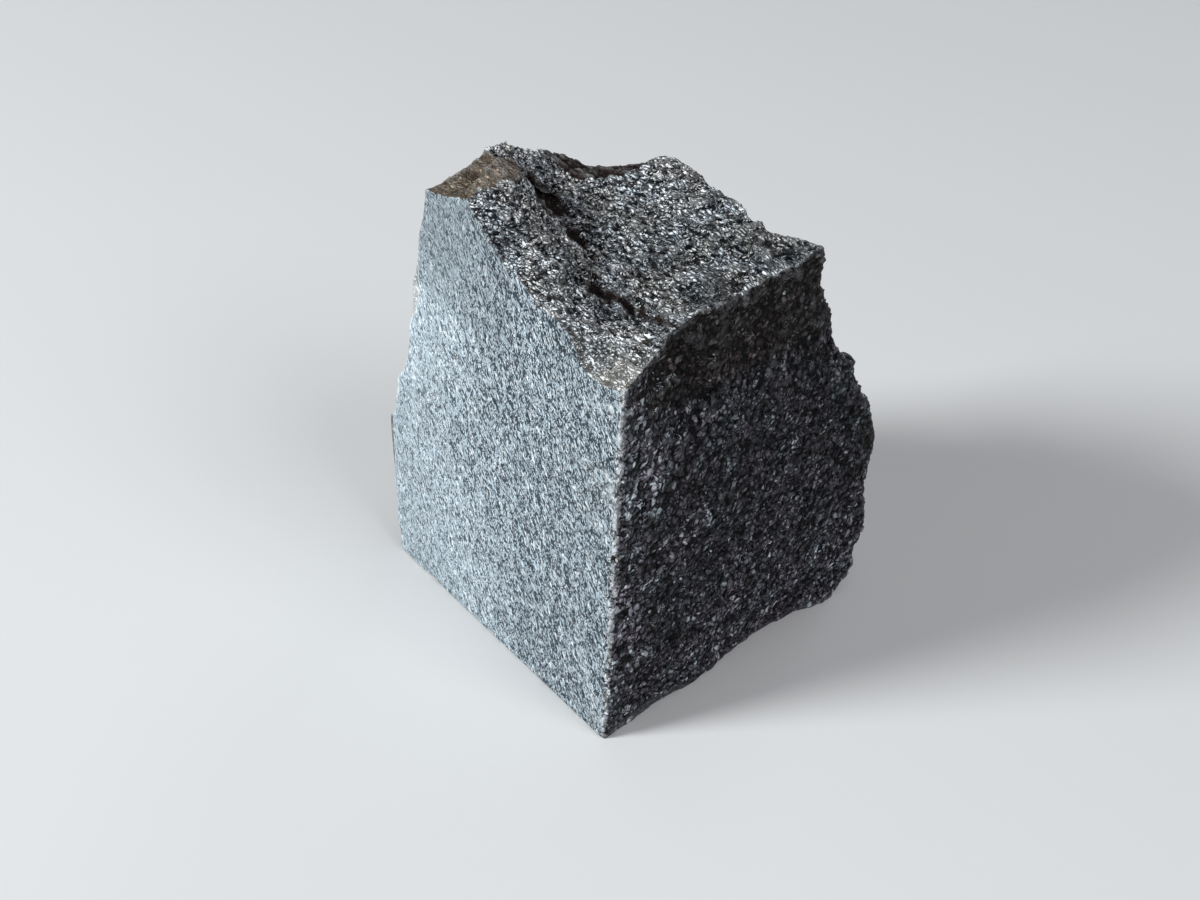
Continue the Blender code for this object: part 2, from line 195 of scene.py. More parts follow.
# Marks that the materials read. Every zone has an amount, and may rise (from, full), fall (end, over)
# or peak (middle, reach) along x, y, z and other measures, in mm.
markSettings = dict(
    nearRounds=3,
    farRounds=24,
    # hollows are darkened with painted shade by how far they sink
    hollowGain=(2.6, 1.1),  # against the near and the far surroundings
    crestGain=(2.6, 0.6),
    crestByEdge=dict(amount=0.9, rise=dict(sawn=(0.6, 2))),
    crestLeast=0.1,
    cornerAmount=0.9,
    cornerSpread=0.4,
    # along the left arris: bruised chips and a painted highlight on the bevel
    leftWearAndHighlight=dict(amount=0.45, rise=dict(z=(14, 22)), fall=dict(z=(60, 4))),
    leftHighlightBand=dict(amount=1, rise=dict(sawn=(0.02, 0.1)), fall=dict(inward=(1.9, 0.8), sawn=(2, 1))),
    # the brown stain on the rear wall, painted near black as the shade on that slope, begins behind this line
    # (x, y)
    rearStainAndShadeEdge=[(-14, -6.7), (-8.6, -6.7), (-5.6, -6.2), (-4.5, -3.7), (-1.3, -2.2), (-0.4, -0.7), (0, 7)],
    rearStainAndShade=dict(amount=1, rise=dict(behind=(-0.6, 0.6), z=(54, 63), x=(-18, -12)), fall=dict(y=(6, 7))),
    # pale dust lies on the front tip, along the brow and along the cleft rim
    creamDust=[
        dict(amount=1, peak=dict(sawn=(0, 6), cleft=(0, 9)), rise=dict(z=(52, 57))),
        dict(amount=0.5, peak=dict(sawn=(0, 2.6)), rise=dict(z=(52, 57), x=(6, 14))),
        dict(amount=0.6, peak=dict(cleft=(0, 1.2)), rise=dict(z=(60, 63)), fall=dict(y=(-8, 8))),
    ],
    # brown film in the flake scars, and an olive patch low on the cleft face
    scarFilm=[
        dict(amount=1, rise=dict(cleft=(0.15, 1), z=(50, 60), facing=(0.3, 0.6))),
        dict(amount=0.9, rise=dict(z=(53, 57), y=(-23, -20), x=(21.5, 23))),
        dict(amount=1, peak=dict(y=(22.5, 3), z=(33, 5)), rise=dict(x=(22, 26))),
    ],
    # the cleft face is lightened by painted glints by the corner and by paler flecks at its lower right
    flecksAndGlints=[
        dict(amount=0.3),
        dict(amount=-0.2, rise=dict(y=(4, 14), z=(18, 26))),
        dict(amount=0.35, rise=dict(y=(-14, -4)), fall=dict(z=(26, 14))),
        dict(amount=0.7, peak=dict(y=(-21, 4), z=(44, 8))),
    ],
    flecksAndGlintsAtLeast=[
        dict(amount=0.75, fall=dict(y=(-15, 8), z=(60, 10))),
        dict(amount=0.9, rise=dict(y=(4, 14)), fall=dict(z=(24, 12))),
    ],
    # the grain of the sawn face shows more towards the cleft one
    contrast=[
        dict(amount=0.42),
        dict(amount=0.38, rise=dict(x=(-12, 14))),
        dict(amount=0.25, peak=dict(x=(15, 9), z=(42, 13))),
    ],
    # painted glints: crystal faces beside the corner painted bright as if catching the light
    paintedGlint=[
        dict(amount=0.9, peak=dict(y=(-20.6, 1.9), z=(44.5, 3)), rise=dict(x=(25, 26.5))),
        dict(amount=0.3, rise=dict(z=(4, 10), x=(25, 26.5)), fall=dict(y=(-20, 3))),
    ],
    # the sawn face grows darker towards the cleft one, and the top is palest along the brow
    onSawn=dict(amount=1, fall=dict(sawn=(0.25, 0.15))),
    darkerLower=[
        dict(amount=0.04),
        dict(amount=0.27, rise=dict(x=(2, 18))),
        dict(amount=0.12, rise=dict(z=(20, 42))),
        dict(amount=0.33, fall=dict(x=(-2, 12), z=(40, 14))),
    ],
    darkerUpper=dict(amount=0.98, rise=dict(z=(50, 62)), fall=dict(x=(12, 10))),
    darkerTop=dict(amount=0.35, rise=dict(sawn=(3.5, 7), x=(-2, 16))),
    # darker patches: x, y, z, radius and amount
    darkerPatches=[
        (16.5, -26.3, 62.0, 2.6, 1.0),
        (-10.5, -26.3, 37.0, 3.6, 0.7),
        (-14.0, -26.3, 45.0, 3.0, 0.5),
        (2.0, -26.3, 66.0, 3.2, 0.6),
        (24.0, -10.0, 66.0, 6.0, 1.0),
        (26.0, 3.0, 69.0, 5.0, 0.92),
        (21.0, 1.0, 69.0, 5.0, 0.87),
        (14.0, -8.0, 66.0, 5.0, 0.85),
        (4.0, 0.0, 71.0, 4.0, 0.33),
        (2.2, -25.0, 69.8, 2.6, 0.72),
    ],
    darkerPatchTall=1.3,
)


def selectOnly(obj):
    bpy.ops.object.select_all(action="DESELECT")
    obj.select_set(True)
    bpy.context.view_layer.objects.active = obj


def applyModifier(obj, kind, **settings):
    selectOnly(obj)
    modifier = obj.modifiers.new(kind.lower(), kind)
    for key, value in settings.items():
        setattr(modifier, key, value)
    bpy.ops.object.modifier_apply(modifier=modifier.name)


def copyOfCadMesh(settings):
    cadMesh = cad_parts[settings["cadNode"]].data.copy()
    cadMesh.materials.clear()
    cadMesh.name = settings["name"]
    obj = bpy.data.objects.new(settings["name"], cadMesh)
    bpy.context.scene.collection.objects.link(obj)
    selectOnly(obj)
    bpy.ops.object.mode_set(mode="EDIT")
    bpy.ops.mesh.select_all(action="SELECT")
    bpy.ops.mesh.remove_doubles(threshold=settings["mergeWithin"])
    bpy.ops.mesh.normals_make_consistent(inside=False)
    bpy.ops.object.mode_set(mode="OBJECT")
    return obj


def triples(items, field):
    flat = np.empty(len(items) * 3)
    items.foreach_get(field, flat)
    return flat.reshape(-1, 3)


def placesOf(mesh):
    return triples(mesh.vertices, "co")


def normalsOf(mesh):
    return triples(mesh.vertices, "normal")


def putPlaces(mesh, places):
    mesh.vertices.foreach_set("co", places.reshape(-1))
    mesh.update()


def ramp(values, low, high):
    share = np.clip((values - low) / (high - low), 0, 1)
    return share * share * (3 - 2 * share)


def averagedAlongEdges(mesh, values, rounds):
    ends = np.empty(len(mesh.edges) * 2, np.int64)
    mesh.edges.foreach_get("vertices", ends)
    ends = ends.reshape(-1, 2)
    count = np.bincount(ends.reshape(-1), minlength=len(values))[:, None]
    for _ in range(rounds):
        total = values.copy()
        for column in range(values.shape[1]):
            total[:, column] += np.bincount(ends[:, 0], values[ends[:, 1], column], len(values))
            total[:, column] += np.bincount(ends[:, 1], values[ends[:, 0], column], len(values))
        values = total / (count + 1)
    return values


def shuffled(cells, seed):
    # a repeatable number from 0 to 1 for every whole-number cell: big odd numbers scatter its bits
    mixed = (cells @ np.array([374761393, 668265263, 1442695041]) + seed * 144665) & 0xFFFFFFFF
    mixed = ((mixed ^ (mixed >> 13)) * 1274126177) & 0xFFFFFFFF
    return ((mixed ^ (mixed >> 16)) & 0xFFFF) / 0xFFFF


def brokenFacets(places, layer, settings=blockSettings):
    # flats tilted this way and that, as crystals part from each other, longer along the grain than across it
    size = np.array([layer["along"], layer["across"], layer["across"]]) * mm
    cellPlaces = places / size
    corner = np.floor(cellPlaces).astype(np.int64)
    weightSum = np.zeros(len(places))
    height = np.zeros(len(places))
    for offset in np.ndindex(3, 3, 3):
        cell = corner + np.array(offset) - 1
        centre = cell + np.stack([shuffled(cell, layer["seed"] + k) for k in (1, 2, 3)], 1)
        away = cellPlaces - centre
        weight = np.exp(-layer["crisp"] * (away**2).sum(1))
        tilt = np.stack([shuffled(cell, layer["seed"] + k) for k in (4, 5, 6)], 1) - 0.5
        raised = shuffled(cell, layer["seed"] + 7) - 0.5
        height += weight * (settings["facetTilt"] * (away * tilt).sum(1) + settings["facetLift"] * raised)
        weightSum += weight
    return height / (weightSum + 1e-12) * layer["height"] * mm


def turnedAlongGrain(places, settings):
    swing = ramp(places[:, 1], *settings["grainSwing"]) * math.radians(settings["grainTurn"])
    cosine, sine = np.cos(swing), np.sin(swing)
    x, y, z = places.T
    return np.stack([cosine * x + sine * y, cosine * y - sine * x, z], 1)


def onFlat(distance, facing, settings):
    flat = ramp(settings["flatDepth"] * 3 - distance, 0, settings["flatDepth"] * 2)
    return flat * ramp(facing, *settings["flatFacing"])


def groundZones(places, normals, settings):
    # how far each point belongs to the flat, the cleft and the broken surfaces
    front = onFlat(places[:, 1] - settings["frontPlane"], -normals[:, 1], settings)
    base = onFlat(places[:, 2], -normals[:, 2], settings)
    flat = np.maximum(front, base)
    plane = settings["sidePlane"]
    cleft = ramp(places[:, 0], plane - settings["cleftDepth"], plane - settings["cleftBorder"])
    cleft *= ramp(normals[:, 0], *settings["cleftFacing"]) * (1 - flat)
    broken = (1 - flat) * (1 - cleft)
    return flat, cleft, broken


def chipNoise(places, size, seed):
    # smooth bumps from 0 to 1 for chips along an arris
    layer = dict(along=size, across=size, height=1.0, crisp=arrisSettings["chipCrisp"], seed=seed)
    return np.clip(0.5 + brokenFacets(places, layer) / mm, 0, 1)


def raggedWidth(places, chips, ragged):
    (coarse, coarseSeed), (fine, fineSeed) = chips
    least, more = ragged
    return least + more * chipNoise(places, coarse, coarseSeed) * chipNoise(places, fine, fineSeed)


def leftChipWidth(z, settings):
    over = settings["leftRunEnds"]
    return np.maximum.reduce(
        [wide * ramp(z, low, low + over) * ramp(high - z, 0, over) for low, high, wide in settings["leftRuns"]]
    )


def awayFromArris(x, z, settings):
    arris = np.array(settings["leftArris"])
    return x - np.interp(z, arris[:, 1], arris[:, 0])


def chipArrises(places, settings, block):
    # the sawn arrises are bruised: shallow chips down the left one, small ones at the corner and the foot
    x, y, z = places.T / mm
    within = settings["edgeWithin"]
    depth = y - block["frontPlane"] / mm
    inward = awayFromArris(x, z, settings)
    wide = leftChipWidth(z, settings) * raggedWidth(places, settings["leftChips"], settings["leftRagged"])
    cut = np.clip((wide - inward) * settings["leftSlope"], 0, settings["leftDeepest"])
    chipped = (cut > depth) & (inward < wide) & (depth < settings["leftWithin"])
    y = np.where(chipped, cut + block["frontPlane"] / mm, y)
    swellAt, swellOver, swellBy = settings["leftSwell"]
    acrossEnd, acrossOver = settings["swellAcross"]
    deepEnd, deepOver = settings["swellDeep"]
    swell = swellBy * np.exp(-(((z - swellAt) / swellOver) ** 2))
    x = x - swell * ramp(acrossEnd - inward, 0, acrossOver) * ramp(deepEnd - depth, 0, deepOver)
    # the corner between the sawn and the cleft face
    side = block["sidePlane"] / mm - x
    depth = y - block["frontPlane"] / mm
    bruise = settings["frontWidth"] * raggedWidth(places, settings["frontChips"], settings["frontRagged"])
    short = np.clip(bruise - (depth + side), 0, None) * (side < within) * (depth < within)
    x = x - 0.5 * short
    y = y + 0.5 * short
    # the foot of the sawn face, with one larger chip
    depth = y - block["frontPlane"] / mm
    chipX, chipRadius, chipDepth = settings["baseChip"]
    foot = settings["baseWidth"] * raggedWidth(places, settings["baseChips"], settings["baseRagged"])
    foot = foot + chipDepth * np.exp(-(((x - chipX) / chipRadius) ** 2))
    short = np.clip(foot - (depth + z), 0, None) * (depth < within) * (z < within)
    y = y + 0.5 * short
    z = z + 0.5 * short
    return np.stack([x, y, z], 1) * mm


def alongGrooves(places, settings):
    # how deep the grooves cut at each point, in mm, how much painted shade darkens them, and how rusty they are
    flattened = np.array([1.0, 1.0, settings["heightShare"]])
    darkShare, darkMore = settings["shadeReach"]
    rustShare, rustMore = settings["rustReach"]
    cut = np.zeros(len(places))
    dark = np.zeros(len(places))
    rust = np.zeros(len(places))
    for x1, y1, z1, x2, y2, z2, halfWidth, depth, rusty in grooves:
        start = np.array([x1, y1, z1]) * flattened
        run = np.array([x2, y2, z2]) * flattened - start
        away = places / mm * flattened - start
        share = np.clip(away @ run / (run @ run), 0, 1)
        distance = np.linalg.norm(away - share[:, None] * run, axis=1)
        cut = np.maximum(cut, depth * np.exp(-((distance / halfWidth) ** 2)))
        shadeStrength = min(1, depth / settings["fullDepth"])
        dark = np.maximum(dark, shadeStrength * np.exp(-((distance / (darkShare * halfWidth + darkMore)) ** 2)))
        rust = np.maximum(rust, rusty * np.exp(-((distance / (rustShare * halfWidth + rustMore)) ** 2)))
    return cut, dark, rust


def filmShare(places, normals, settings):
    # the flat at the upper left, which weathered brown
    x, y, z = places.T / mm
    (x1, slope1, y1), (x2, slope2, y2) = settings["lines"]
    share = ramp(x1 + slope1 * (y - y1) - x, *settings["border"])
    share = share * ramp(x2 + slope2 * (y - y2) - x, *settings["border"])
    share *= ramp(settings["rearEdge"] - y, *settings["rearBorder"]) * ramp(z, *settings["above"])
    return share * ramp(normals[:, 2], *settings["upFacing"])


def roughen(obj, settings):
    mesh = obj.data
    places = placesOf(mesh)
    normals = normalsOf(mesh)
    flat, cleft, broken = groundZones(places, normals, settings)
    rough = averagedAlongEdges(mesh, broken[:, None], settings["borderRounds"])[:, 0] * (1 - flat)
    fromSawn = np.minimum(places[:, 1] - settings["frontPlane"], places[:, 2])
    inner = settings["rimShare"] + (1 - settings["rimShare"]) * ramp(fromSawn, 0, settings["rimWidth"])
    soft = averagedAlongEdges(mesh, places, settings["smoothing"])
    convex = ramp(((places - soft) * normals).sum(1), *settings["crumbCurve"])
    convex = convex * ramp(fromSawn, *settings["crumbFrom"]) * (1 - flat)
    offRim = ramp(fromSawn, settings["rimFrom"], settings["rimWidth"])
    softening = rough * offRim
    lightlySoft = averagedAlongEdges(mesh, places, settings["cleftSmoothing"])
    lightly = cleft * (1 - softening) * offRim
    places = places + (soft - places) * softening[:, None] + (lightlySoft - places) * lightly[:, None]
    film = filmShare(places, normals, ironFlat)
    height = sum(brokenFacets(turnedAlongGrain(places, settings), layer) for layer in reliefLayers)
    upward = ramp(normals[:, 2], *settings["upFacing"])
    share = rough * inner * (settings["flankShare"] + (1 - settings["flankShare"]) * upward)
    share *= 1 - settings["filmCalm"] * film
    # the left flank runs in smooth to the sawn face
    leftward = ramp(-normals[:, 0], *settings["leftFacing"])
    share *= 1 - settings["leftCalm"] * leftward * (1 - ramp(fromSawn, 0, settings["leftRunIn"]))
    height *= share
    cleftHeight = sum(brokenFacets(places, layer) for layer in cleftLayers)
    height += cleftHeight * settings["cleftShare"] * cleft * inner
    crumbs = sum(brokenFacets(places, layer) for layer in crumbLayers)
    height += crumbs * convex * (1 - settings["filmCalmCrumbs"] * film)
    height -= alongGrooves(places, grooveSettings)[0] * mm * rough
    places = chipArrises(places + normals * height[:, None], arrisSettings, settings)
    putPlaces(mesh, places)


def keepInBox(mesh):
    putPlaces(mesh, np.clip(placesOf(mesh), np.array(cadBox[0]), np.array(cadBox[1])))


def addMeasure(mesh, name, values):
    made = mesh.attributes.new(name, "FLOAT", "POINT")
    made.data.foreach_set("value", np.clip(values, 0, 1).astype(np.float32))


def zoneShare(at, zone):
    share = zone["amount"]
    for name, (start, full) in zone.get("rise", {}).items():
        share = share * ramp(at[name], start, full)
    for name, (end, over) in zone.get("fall", {}).items():
        share = share * ramp(end - at[name], 0, over)
    away = sum(((at[name] - middle) / reach) ** 2 for name, (middle, reach) in zone.get("peak", {}).items())
    return share * np.exp(-away)


def zonesAdded(at, zones):
    return sum(zoneShare(at, zone) for zone in zones)


def largestZone(at, zones):
    return np.maximum.reduce([zoneShare(at, zone) for zone in zones])


def darkeningAt(at, marks, frontPlane):
    onSawn = zoneShare(at, marks["onSawn"])
    darkening = np.maximum(zonesAdded(at, marks["darkerLower"]), zoneShare(at, marks["darkerUpper"]))
    darkening = np.maximum(darkening * onSawn, zoneShare(at, marks["darkerTop"]))
    for px, py, pz, radius, amount in marks["darkerPatches"]:
        away = np.stack([at["x"] - px, at["y"] - py, (at["z"] - pz) / marks["darkerPatchTall"]], 1) / radius
        here = onSawn if py < frontPlane else 1
        darkening = np.maximum(darkening, amount * here * np.exp(-(away**2).sum(1)))
    return darkening


def measure(obj, settings, marks):
    # what the materials read: hollows and grooves for painted shade, crests, worn corners, painted glints, and
    # where rust and dust have settled
    mesh = obj.data
    places = placesOf(mesh)
    normals = normalsOf(mesh)
    x, y, z = places.T / mm
    stainEdge = np.array(marks["rearStainAndShadeEdge"])
    at = dict(
        x=x,
        y=y,
        z=z,
        facing=normals[:, 0],
        sawn=y - settings["frontPlane"] / mm,
        cleft=settings["sidePlane"] / mm - x,
        inward=awayFromArris(x, z, arrisSettings),
        behind=y - np.interp(x, stainEdge[:, 0], stainEdge[:, 1]),
    )
    near = averagedAlongEdges(mesh, places, marks["nearRounds"])
    far = averagedAlongEdges(mesh, places, marks["farRounds"])
    fine = ((near - places) * normals).sum(1) / mm
    wide = ((far - places) * normals).sum(1) / mm
    nearGain, farGain = marks["hollowGain"]
    addMeasure(mesh, "hollow", nearGain * fine + farGain * wide)
    nearGain, farGain = marks["crestGain"]
    crest = -nearGain * fine - farGain * wide
    addMeasure(mesh, "crest", crest * (marks["crestLeast"] + zoneShare(at, marks["crestByEdge"])))
    # bruised arrises, paler than the faces beside them; along the left arris the pale band is also a painted
    # highlight on the bevel facing the light
    corner = marks["cornerAmount"] * np.exp(-((at["sawn"] ** 2 + at["cleft"] ** 2) / marks["cornerSpread"]))
    leftRun = np.clip(leftChipWidth(z, arrisSettings), zoneShare(at, marks["leftWearAndHighlight"]), 1)
    addMeasure(mesh, "corner", np.maximum(corner, leftRun * zoneShare(at, marks["leftHighlightBand"])))
    film = filmShare(places, normals, ironFlat)
    addMeasure(mesh, "ironFilm", film)
    addMeasure(mesh, "rearStainAndShade", zoneShare(at, marks["rearStainAndShade"]))
    _, grooveShadeMask, grooveRustAndShade = alongGrooves(places, grooveSettings)
    # painted shade in the grooves
    addMeasure(mesh, "grooveShade", grooveShadeMask)
    # rust in the grooves, painted darker as the shade in them
    addMeasure(mesh, "pocketRustAndShade", grooveRustAndShade)
    addMeasure(mesh, "creamDust", largestZone(at, marks["creamDust"]) * (1 - film))
    addMeasure(mesh, "scarFilm", largestZone(at, marks["scarFilm"]))
    flecksAndGlints = zonesAdded(at, marks["flecksAndGlints"])
    addMeasure(mesh, "flecksAndGlints", np.maximum(flecksAndGlints, largestZone(at, marks["flecksAndGlintsAtLeast"])))
    addMeasure(mesh, "contrast", zonesAdded(at, marks["contrast"]))
    # painted glints beside the corner
    addMeasure(mesh, "paintedGlint", zonesAdded(at, marks["paintedGlint"]))
    addMeasure(mesh, "darkening", darkeningAt(at, marks, settings["frontPlane"] / mm))


block = copyOfCadMesh(blockSettings)
print("block copied:", len(block.data.vertices), "points")

applyModifier(block, "REMESH", mode="VOXEL", voxel_size=blockSettings["voxel"])
print("remeshed:", len(block.data.polygons), "faces")

roughen(block, blockSettings)
print("relief cut")

applyModifier(block, "DECIMATE", ratio=blockSettings["keptShare"])
keepInBox(block.data)
selectOnly(block)
bpy.ops.object.shade_smooth()
print("thinned:", len(block.data.loops) - 2 * len(block.data.polygons), "triangles")

measure(block, blockSettings, markSettings)
print("surface measured")


# Node helpers
def feed(tree, socket, value):
    if isinstance(value, bpy.types.NodeSocket):
        tree.links.new(value, socket)
    elif value is not None:
        socket.default_value = value


def place(tree, kind, inputs=None, **settings):
    node = tree.nodes.new(kind)
    for key, value in settings.items():
        setattr(node, key, value)
    for key, value in (inputs or {}).items():
        feed(tree, node.inputs[key], value)
    return node


def calc(tree, operation, *values, clamp=False):
    node = place(tree, "ShaderNodeMath", operation=operation, use_clamp=clamp)
    for socket, value in zip(node.inputs, values):
        feed(tree, socket, value)
    return node.outputs[0]


def times(tree, *values, clamp=False):
    return calc(tree, "MULTIPLY", *values, clamp=clamp)


def vectorCalc(tree, operation, *values):
    node = place(tree, "ShaderNodeVectorMath", operation=operation)
    for socket, value in zip(node.inputs, values):
        feed(tree, socket, value)
    return node.outputs["Value" if operation == "DOT_PRODUCT" else "Vector"]


def threeTimes(tree, value):
    return place(tree, "ShaderNodeCombineXYZ", {"X": value, "Y": value, "Z": value}).outputs[0]


def remap(tree, value, fromLow, fromHigh, toLow=0.0, toHigh=1.0):
    node = place(tree, "ShaderNodeMapRange", interpolation_type="SMOOTHSTEP")
    for socket, given in zip(node.inputs, (value, fromLow, fromHigh, toLow, toHigh)):
        feed(tree, socket, given)
    return node.outputs[0]


def blendColours(tree, share, first, second, way="MIX"):
    node = place(tree, "ShaderNodeMix", data_type="RGBA", blend_type=way, clamp_factor=True)
    feed(tree, node.inputs["Factor"], share)
    feed(tree, node.inputs[6], first)
    feed(tree, node.inputs[7], second)
    return node.outputs[2]


def timesColour(tree, colour, by):
    return blendColours(tree, 1.0, colour, by, "MULTIPLY")


def newGroup(name, inputs, outputs):
    # an input given as None is a vector, as a tuple a colour, and as a number a float
    tree = bpy.data.node_groups.new(name, "ShaderNodeTree")
    for label, value in inputs.items():
        kind = "Vector" if value is None else "Color" if isinstance(value, tuple) else "Float"
        socket = tree.interface.new_socket(name=label, in_out="INPUT", socket_type="NodeSocket" + kind)
        if value is not None:
            socket.default_value = value
    for label in outputs:
        kind = "Color" if label == "colour" else "Float"
        tree.interface.new_socket(name=label, in_out="OUTPUT", socket_type="NodeSocket" + kind)
    start = tree.nodes.new("NodeGroupInput")
    end = tree.nodes.new("NodeGroupOutput")
    return tree, start.outputs, end.inputs


def useGroup(tree, name, **inputs):
    node = tree.nodes.new("ShaderNodeGroup")
    node.node_tree = bpy.data.node_groups[name]
    node.label = name
    for key, value in inputs.items():
        feed(tree, node.inputs[key], value)
    return node.outputs


# One set of long crystals, all leaning one way.
def makeLathGroup():
    tree, given, out = newGroup(
        "lathLayer",
        dict(place=None, width=0.4 * mm, length=1.2 * mm, lean=0.0, turn=0.0, seed=0.0),
        ["tone", "otherTone", "facet", "reach", "edgeDistance"],
    )
    angles = place(tree, "ShaderNodeCombineXYZ", {"Y": given["lean"], "Z": given["turn"]})
    turning = {"Vector": given["place"], "Rotation": angles.outputs[0]}
    turned = place(tree, "ShaderNodeVectorRotate", turning, rotation_type="EULER_XYZ", invert=True)
    sizes = {"X": given["width"], "Y": given["width"], "Z": given["length"]}
    size = place(tree, "ShaderNodeCombineXYZ", sizes)
    scaled = vectorCalc(tree, "DIVIDE", turned.outputs[0], size.outputs[0])
    shifted = vectorCalc(tree, "ADD", scaled, threeTimes(tree, given["seed"]))
    cells = place(tree, "ShaderNodeTexVoronoi", {"Vector": shifted, "Scale": 1.0}, feature="F1")
    edges = place(tree, "ShaderNodeTexVoronoi", {"Vector": shifted, "Scale": 1.0}, feature="DISTANCE_TO_EDGE")
    feed(tree, out["reach"], cells.outputs["Distance"])
    feed(tree, out["edgeDistance"], edges.outputs["Distance"])
    tones = place(tree, "ShaderNodeSeparateColor", {"Color": cells.outputs["Color"]})
    feed(tree, out["tone"], tones.outputs[0])
    feed(tree, out["otherTone"], tones.outputs[1])
    away = vectorCalc(tree, "SUBTRACT", shifted, cells.outputs["Position"])
    tilt = vectorCalc(tree, "SUBTRACT", cells.outputs["Color"], (0.5, 0.5, 0.5))
    feed(tree, out["facet"], vectorCalc(tree, "DOT_PRODUCT", away, tilt))


# What every grain shares. Each later set of crystals lies over those before it.
grainSettings = dict(
    crystalSets=[(0, 0.0, 1.0), (1, 0.9, 0.85), (-1, -0.5, 1.25), (2, 2.0, 0.7)],  # leans, turns, size
    firstSeed=3.7,
    seedStep=7.3,
    wanderScale=560.0,
    wanderDetail=2.0,
    crystalReach=0.5,  # a crystal of a later set ends here, in its own widths
    gapsOpenBelow=0.95,
    gapsOpenOver=0.1,
    paleLift=0.5,
    gapSink=-0.9,
    glintTones=(0.965, 0.98),
)


# Pale feldspar laths and dark pyroxene between them.
def makeGrainGroup(settings):
    tree, given, out = newGroup(
        "stoneGrain",
        dict(
            place=None, width=0.4 * mm, length=1.2 * mm, lean=0.0, spread=0.5, heading=0.0, fan=0.5,
            crowding=0.45, paleShare=0.2, darkShare=0.2, softness=0.15, bend=0.2 * mm, gapWidth=0.12,
            gapShare=0.6, outline=0.5, strength=1.0,
        ),
        ["pale", "dark", "gap", "tone", "relief", "glint"],
    )
    noise = {"Vector": given["place"], "Scale": settings["wanderScale"], "Detail": settings["wanderDetail"]}
    wander = place(tree, "ShaderNodeTexNoise", noise)
    centred = vectorCalc(tree, "SUBTRACT", wander.outputs["Color"], (0.5, 0.5, 0.5))
    bendBy = vectorCalc(tree, "MULTIPLY", centred, threeTimes(tree, given["bend"]))
    bent = vectorCalc(tree, "ADD", given["place"], bendBy)
    coverFrom = calc(tree, "SUBTRACT", 1.0, given["crowding"])
    reach = settings["crystalReach"]
    for index, (leanSteps, turnSteps, sizeStep) in enumerate(settings["crystalSets"]):
        layer = useGroup(
            tree,
            "lathLayer",
            place=bent,
            width=times(tree, given["width"], sizeStep),
            length=times(tree, given["length"], sizeStep),
            lean=calc(tree, "MULTIPLY_ADD", given["spread"], leanSteps, given["lean"]),
            turn=calc(tree, "MULTIPLY_ADD", given["fan"], turnSteps, given["heading"]),
            seed=settings["firstSeed"] + settings["seedStep"] * index,
        )
        if index == 0:
            tone, facet = layer["otherTone"], layer["facet"]
            gap = remap(tree, layer["edgeDistance"], 0.0, given["gapWidth"], 1.0, 0.0)
            openFrom = calc(tree, "SUBTRACT", settings["gapsOpenBelow"], given["gapShare"])
            openAt = calc(tree, "ADD", openFrom, settings["gapsOpenOver"])
            gap = times(tree, gap, remap(tree, layer["tone"], openFrom, openAt))
        else:
            over = calc(tree, "GREATER_THAN", layer["tone"], coverFrom)
            over = times(tree, over, calc(tree, "LESS_THAN", layer["reach"], reach))
            rim = remap(tree, layer["reach"], calc(tree, "SUBTRACT", reach, given["gapWidth"]), reach)
            rim = times(tree, times(tree, over, rim), given["outline"])
            tone = calc(tree, "MULTIPLY_ADD", over, calc(tree, "SUBTRACT", layer["otherTone"], tone), tone)
            facet = calc(tree, "MULTIPLY_ADD", over, calc(tree, "SUBTRACT", layer["facet"], facet), facet)
            gap = calc(tree, "MAXIMUM", times(tree, gap, calc(tree, "SUBTRACT", 1.0, over)), rim)
    paleFrom = calc(tree, "SUBTRACT", 1.0, given["paleShare"])
    pale = remap(tree, tone, paleFrom, calc(tree, "ADD", paleFrom, given["softness"]))
    darkTo = calc(tree, "SUBTRACT", given["darkShare"], given["softness"])
    dark = remap(tree, tone, darkTo, given["darkShare"], 1.0, 0.0)
    feed(tree, out["tone"], tone)
    for name, share in [("pale", pale), ("dark", dark), ("gap", gap)]:
        feed(tree, out[name], times(tree, share, given["strength"], clamp=True))
    raised = calc(tree, "MULTIPLY_ADD", pale, settings["paleLift"], facet)
    feed(tree, out["relief"], calc(tree, "MULTIPLY_ADD", gap, settings["gapSink"], raised))
    feed(tree, out["glint"], remap(tree, tone, *settings["glintTones"]))


# Mineral colours put together: pale over dark over the ground mass, and gaps over all.
def makeToneGroup():
    tree, given, out = newGroup(
        "mineralTones",
        dict(
            pale=0.0, dark=0.0, gap=0.0, tone=0.5, toneSpread=0.3, groundColour=(0.3, 0.3, 0.3, 1),
            paleColour=(0.6, 0.6, 0.6, 1), darkColour=(0.1, 0.1, 0.1, 1), gapColour=(0.02, 0.02, 0.02, 1),
        ),
        ["colour"],
    )
    aside = times(tree, calc(tree, "SUBTRACT", given["tone"], 0.5), given["toneSpread"])
    varied = timesColour(tree, given["groundColour"], calc(tree, "MULTIPLY_ADD", aside, 2.0, 1.0))
    withDark = blendColours(tree, given["dark"], varied, given["darkColour"])
    withPale = blendColours(tree, given["pale"], withDark, given["paleColour"])
    feed(tree, out["colour"], blendColours(tree, given["gap"], withPale, given["gapColour"]))


def cloudNoise(tree, spot, size, settings):
    values = dict(Vector=spot, Detail=settings["detail"], Roughness=settings["roughness"])
    values["Scale"] = calc(tree, "DIVIDE", 1.0, size)
    return place(tree, "ShaderNodeTexNoise", values).outputs[0]


# Large soft patches, a little lighter or darker.
patchSettings = dict(detail=3.0, roughness=0.55, border=(0.32, 0.68))


